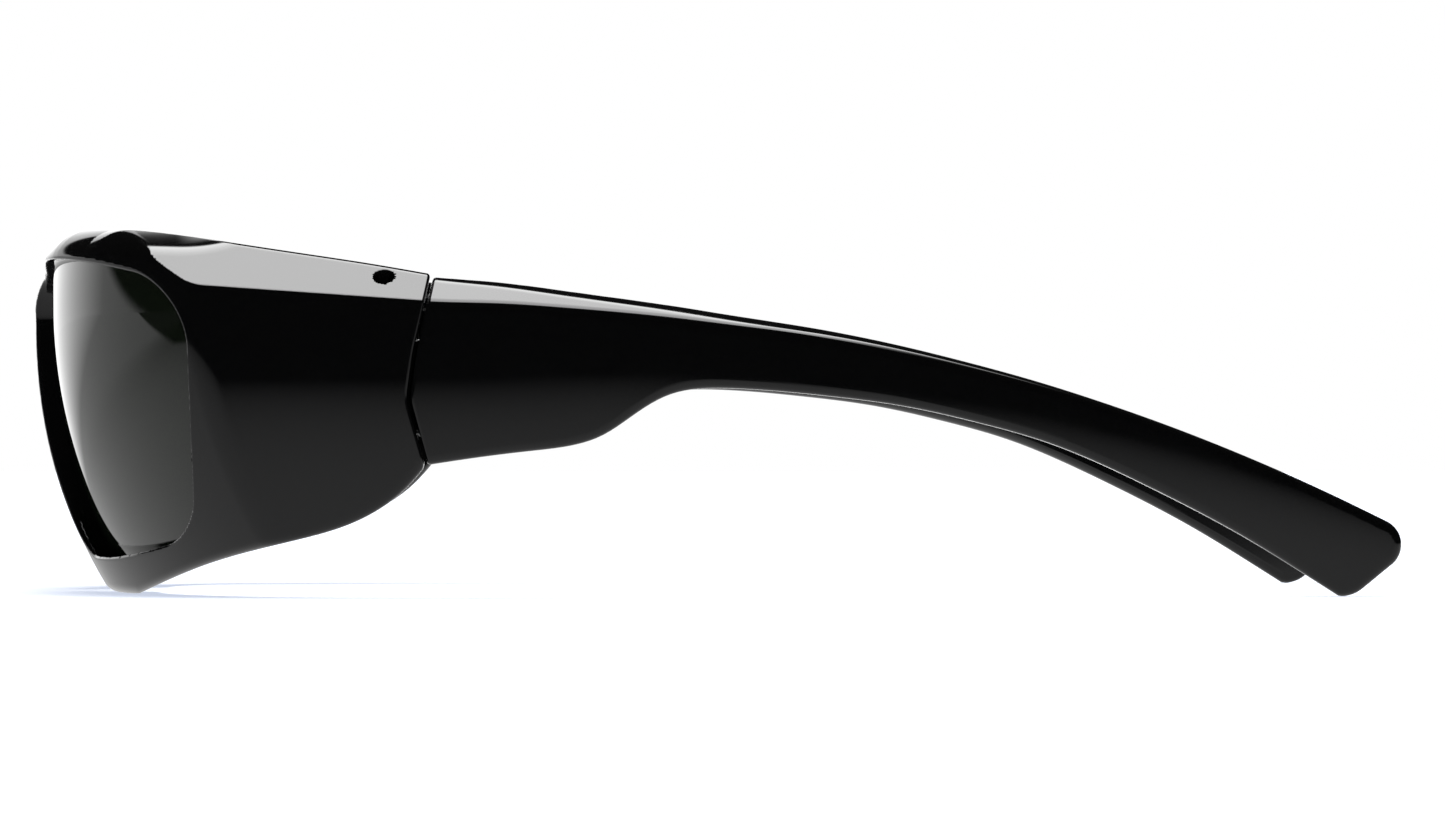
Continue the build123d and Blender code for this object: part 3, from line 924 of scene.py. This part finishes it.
@dataclass(frozen=True)
class Temple:
    """One folding temple: tall where it meets the side shield, slim and drooping behind.

    Distances along it are measured back from the parting line. plan is its outer face seen
    from above, crown and under its edges seen from the side, thick its thickness, ridge the
    drop from the crown to the edge of the roof, crest the height where it is widest.
    """

    layout: Layout
    side: Side
    ridge_radius: float = 0.9
    edge_radius: float = 1.0
    tip_radius: float = 3.0
    knuckle_radius: float = 2.6
    knuckle: Pair = (19.4, 30.6)
    bore_radius: float = 1.25
    coarse: float = 1.0
    plan: Curve = Curve([(-3.0, 72.0), (10.0, 73.15), (25.0, 73.4), (40.0, 73.0),
                         (55.0, 72.0), (70.0, 70.3), (85.0, 68.1), (100.0, 65.4),
                         (119.0, 61.4)])
    crown: Curve = Curve([(-3.0, 39.0), (0.6, 38.5), (8.9, 37.6), (16.0, 36.6),
                          (23.1, 35.6), (30.3, 34.55), (37.4, 33.4), (44.5, 32.3),
                          (51.6, 31.0), (58.8, 29.4), (65.9, 27.6), (73.1, 25.6),
                          (80.2, 23.35), (87.4, 20.85), (94.6, 18.1), (101.8, 15.1),
                          (109.1, 11.8), (114.5, 9.2)])
    under: Curve = Curve([(0.0, 15.7), (5.3, 16.5), (12.5, 17.4), (18.0, 18.2), (21.3, 19.4),
                          (24.9, 21.8), (28.5, 23.9), (32.5, 24.8), (36.0, 24.85),
                          (42.0, 24.5), (48.1, 23.9), (57.0, 22.7), (66.0, 20.7),
                          (74.3, 18.3), (86.2, 13.1), (98.2, 6.8), (106.0, 2.0)])
    thick: Curve = Curve([(-3.0, 7.0), (10.0, 6.6), (25.0, 5.6), (40.0, 5.0), (55.0, 4.5),
                          (70.0, 4.2), (85.0, 4.0), (119.0, 3.8)])
    ridge: Curve = Curve([(-3.0, 3.75), (0.6, 3.5), (16.0, 2.3), (32.6, 1.5), (44.5, 1.1),
                          (56.4, 0.8), (74.0, 0.45), (96.0, 0.2), (120.0, 0.2)])
    crest: Curve = Curve([(-3.0, 26.8), (9.0, 27.0), (20.8, 27.5), (35.0, 27.2), (50.4, 25.9),
                          (68.0, 23.4), (91.0, 17.6), (114.0, 9.2)])

    def field(self, x: Array, y: Array, z: Array) -> Array:
        """Signed distance to the finished temple."""
        along = y - self.layout.parting_y
        out = x * self.side.value
        plan, crown, under = self.plan, self.crown, self.under
        face = plan(along) - (z - self.crest(along)) ** 2 / (2 * self.layout.barrel_radius)
        lean = np.sqrt(1 + plan.slope(along) ** 2)
        outer = (out - face) / lean
        inner = (plan(along) - self.thick(along) - out) / lean
        top = crown.above(along, z)
        slope = self.layout.roof_angle
        fall = z - crown(along) + self.ridge(along) - (face - out) * math.tan(slope)
        roof = fall * math.cos(slope) / np.sqrt(1 + (crown.slope(along) * math.cos(slope)) ** 2)
        low = np.maximum(-under.above(along, z), self.layout.table_z - z)
        end = (along - 116.5) * 0.63 - (z - 4.6) * 0.776
        front = self.layout.parting(z) + self.layout.parting_gap - y
        profile = round_max(top, end, self.tip_radius, -0.46)
        profile = round_max(profile, low, self.tip_radius, 0.7)
        outside = round_max(outer, roof, self.ridge_radius)
        solid = round_max(profile, round_max(outside, inner, 1.2), self.edge_radius)
        solid = round_max(solid, front, 0.4)
        solid = np.minimum(solid, self._knuckle(out, y, z))
        bore = np.hypot(out - self.layout.pin_x, y - self.layout.pin_y) - self.bore_radius
        return np.maximum(solid, -bore)

    def _knuckle(self, out: Array, y: Array, z: Array) -> Array:
        """Signed distance to the hinge knuckle and its arm."""
        dx, dy = out - self.layout.pin_x, y - self.layout.pin_y
        turn = np.hypot(dx, dy) - self.knuckle_radius
        arm = np.maximum(np.abs(dx) - self.knuckle_radius, slab(dy, 0.0, 7.5))
        return round_max(np.minimum(turn, arm), slab(z, *self.knuckle), 0.4)

    def build(self, finish: Material) -> None:
        """Makes the temple and dresses it."""
        node = f"{self.side.word}_temple"
        along = stations([(-9.0, 0.4), (-0.6, 0.3), (-0.2, 0.12), (1.0, 0.12), (3.0, 0.4),
                          (8.0, 0.5), (14.0, 0.8), (108.0, 0.8), (113.0, 0.3),
                          (118.4, 0.25)], self.coarse)[None, :, None]
        share = stations([(-0.06, 0.012), (0.06, 0.014), (0.14, 0.035), (0.8, 0.03),
                          (0.86, 0.012), (1.05, 0.01)], self.coarse)[None, None, :]
        inward = stations([(-8.6, 0.4), (-1.5, 0.35), (-0.8, 0.16), (0.5, 0.16)], self.coarse)
        inward = inward[::self.side.value, None, None]
        floor = np.maximum(self.under(along), self.layout.table_z)
        z = floor + share * (self.crown(along) - floor)
        near = np.clip(1.0 - along / 12.0, 0.0, 1.0)
        bent = self.layout.parting(z) - self.layout.parting_y + self.layout.parting_gap
        y = self.layout.parting_y + along + near * bent
        x = self.side.value * (self.plan(along) + inward)
        arm = Casting(f"{node}_arm", self.field, (x, y, z)).make()
        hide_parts(node)
        body = Body.TEMPLE_LEFT if self.side is Side.LEFT else Body.TEMPLE_RIGHT
        dress(arm, finish, body)


# --- nose pads and pins


@dataclass(frozen=True)
class NosePad:
    """One soft oval pad on its seat, with its stem pushed into the flange."""

    front: FrontShell
    side: Side
    length: float = 15.0
    width: float = 6.4
    thickness: float = 2.2
    round_over: float = 0.9
    stem_radius: float = 1.1
    stem_length: float = 1.5
    pitch: float = 0.22
    coarse: float = 1.0

    def field(self, x: Array, y: Array, z: Array) -> Array:
        """Signed distance to the pad."""
        along, out, across = self.front.pad_seat(x * self.side.value, y, z)
        half_length, half_width = self.length / 2, self.width / 2
        oval = np.hypot(along / half_length, across / half_width)
        steep = np.hypot(along / half_length ** 2, across / half_width ** 2)
        edge = (oval - 1) * oval / np.maximum(steep, 1e-3)
        pad = round_max(edge, slab(out, 0.0, self.thickness), self.round_over)
        stem = np.hypot(along, across) - self.stem_radius
        return np.minimum(pad, np.maximum(stem, slab(out, -self.stem_length, 0.5)))

    def build(self, finish: Material) -> None:
        """Makes the pad and dresses it."""
        node = f"{self.side.word}_nose_pad"
        low, high = (np.array(corner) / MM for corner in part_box(node))
        axes = [
            stations([(low[i] - 0.5, self.pitch), (high[i] + 0.5, self.pitch)], self.coarse)
            for i in range(3)
        ]
        grid = (axes[0][:, None, None], axes[1][None, :, None], axes[2][None, None, :])
        pad = Casting(f"{node}_soft", self.field, grid).make()
        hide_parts(node)
        dress(pad, finish, Body.FRONT)


@dataclass(frozen=True)
class HingePin:
    """One plain steel pin, shown as the frame gives it."""

    side: Side

    def build(self, finish: Material) -> None:
        """Dresses the pin."""
        pin = frame["nodes"][f"{self.side.word}_hinge_pin"]
        pin.data.materials.clear()
        pin.data.materials.append(finish)
        LOG.info("%s: dressed", pin.name)


# --- studio


@dataclass(frozen=True)
class Studio:
    """White table, overhead soft light and a long camera level with the wearer's left side.

    The pairs of the light say where an edge starts and where it is full, as parts of a
    direction of length one.
    """

    layout: Layout
    table_size: float = 6.0
    camera_distance: float = 1.602     # from the outer face of the temple
    camera_aim: Triple = (0.070, 0.0012, 0.0227)
    camera_turn: float = math.radians(-0.8)
    camera_lens: float = 335.7
    overhead: float = 6.8      # brightness of the soft box
    backdrop: float = 1.9      # brightness of the paper straight behind
    backdrop_side: float = 0.55        # and off to its side
    dark: float = 0.012        # unlit room
    box_aim: Triple = (-0.30, 0.06, 0.95)
    box_rim: Pair = (0.885, 0.915)      # cosine from that aim
    box_front: Pair = (-0.22, -0.16)
    box_rear: Pair = (0.20, 0.34)
    paper_top: Pair = (0.16, 0.45)
    paper_tilt: float = 6.0    # its top rises this fast towards the front
    paper_near: Pair = (-0.30, -0.10)
    cut_slope: float = 0.7     # slanting upper edge of the paper, as the lenses mirror it
    cut_height: float = 0.637
    cut_blur: float = 0.02

    def table(self) -> None:
        """Lays the white table."""
        half = self.table_size / 2
        z = self.layout.table_z * MM
        around = ((-half, -half), (half, -half), (half, half), (-half, half))
        corners = np.array([(x, y, z) for x, y in around])
        top = mesh_object("white_table", corners, np.array([[0, 1, 2, 3]]))
        top.data.materials.append(TablePaper().build())

    def light(self) -> None:
        """Builds the room as a world: soft box overhead, paper behind, dark elsewhere."""
        world = bpy.data.worlds.new("studio")
        world.use_nodes = True
        tree = world.node_tree
        tree.nodes.clear()
        way = add_node(tree, "TexCoord", {}).outputs["Generated"]
        axes = add_node(tree, "SeparateXYZ", {}, Vector=way)
        aim = Vector(self.box_aim).normalized()
        toward = add_node(tree, "VectorMath", {"operation": "DOT_PRODUCT"}, _0=way, _1=aim)
        box = ramp(tree, toward.outputs["Value"], self.box_rim, 0.0, self.overhead)
        for span, low, high in ((self.box_front, 0.0, 1.0), (self.box_rear, 1.0, 0.0)):
            limit = ramp(tree, axes.outputs["Y"], span, low, high)
            box = work_out(tree, "MULTIPLY", box, limit)
        climb = work_out(
            tree, "MULTIPLY_ADD", axes.outputs["Y"], self.paper_tilt, axes.outputs["Z"]
        )
        height = ramp(tree, climb, self.paper_top, 1.0, 0.0)
        away = ramp(tree, axes.outputs["X"], self.paper_near, 1.0, 0.0)
        rim = work_out(
            tree, "MULTIPLY_ADD", axes.outputs["Y"], self.cut_slope, self.cut_height
        )
        below = work_out(tree, "SUBTRACT", rim, axes.outputs["Z"])
        cut = ramp(tree, below, (-self.cut_blur, self.cut_blur), 0.0, 1.0)
        paper = ramp(
            tree, axes.outputs["X"], PAPER_SPAN, self.backdrop, self.backdrop_side, False
        )
        for limit in (height, away, cut):
            paper = work_out(tree, "MULTIPLY", paper, limit)
        room = work_out(tree, "ADD", work_out(tree, "ADD", box, paper), self.dark)
        seen = add_node(tree, "LightPath", {}).outputs["Is Camera Ray"]
        strength = add_node(tree, "Mix", {"data_type": "FLOAT"}, _0=seen, _2=room, _3=1.0)
        white = (1.0, 1.0, 1.0, 1.0)
        back = add_node(tree, "Background", {}, Color=white, Strength=strength.outputs[0])
        add_node(tree, "OutputWorld", {}, Surface=back.outputs[0])
        bpy.context.scene.world = world

    def camera(self) -> None:
        """Sets the camera level, square to the wearer's left side."""
        data = bpy.data.cameras.new("camera")
        data.lens = self.camera_lens
        data.clip_start, data.clip_end = 0.1, 20.0
        camera = bpy.data.objects.new("camera", data)
        back = Vector((math.cos(self.camera_turn), math.sin(self.camera_turn), 0.0))
        camera.location = Vector(self.camera_aim) + back * self.camera_distance
        camera.rotation_euler = (math.pi / 2, 0.0, math.pi / 2 + self.camera_turn)
        bpy.context.scene.collection.objects.link(camera)
        bpy.context.scene.camera = camera

    def build(self) -> None:
        """Sets up table, light, camera and plain colour handling."""
        self.table()
        self.light()
        self.camera()
        bpy.context.scene.view_settings.view_transform = "Standard"
        LOG.info("studio ready")


# --- build


def find_layout() -> Layout:
    """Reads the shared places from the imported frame."""
    fold = next(j for j in frame["joints"] if j["child"] == Body.TEMPLE_LEFT.value)
    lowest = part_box("front_frame")[0]
    pin_x, pin_y = (value / MM for value in fold["pos_m"][:2])
    return Layout(pin_x=pin_x, pin_y=pin_y, table_z=lowest[2] / MM)


def main() -> None:
    """Builds every piece."""
    layout = find_layout()
    shell_finish = PolishedPolyamide().build()
    lens_finish = ShadedPolycarbonate().build()
    pin_finish = TurnedSteel().build()
    pad_finish = SoftRubber().build()
    coarse = 1.0
    front = FrontShell(layout, coarse=coarse)
    front.build(shell_finish)
    for side in Side:
        Lens(front, side).build(lens_finish)
        Temple(layout, side, coarse=coarse).build(shell_finish)
        NosePad(front, side, coarse=coarse).build(pad_finish)
        HingePin(side).build(pin_finish)
    Studio(layout).build()


if __name__ == "__main__":
    logging.basicConfig(level=logging.INFO, format="%(message)s")
    main()
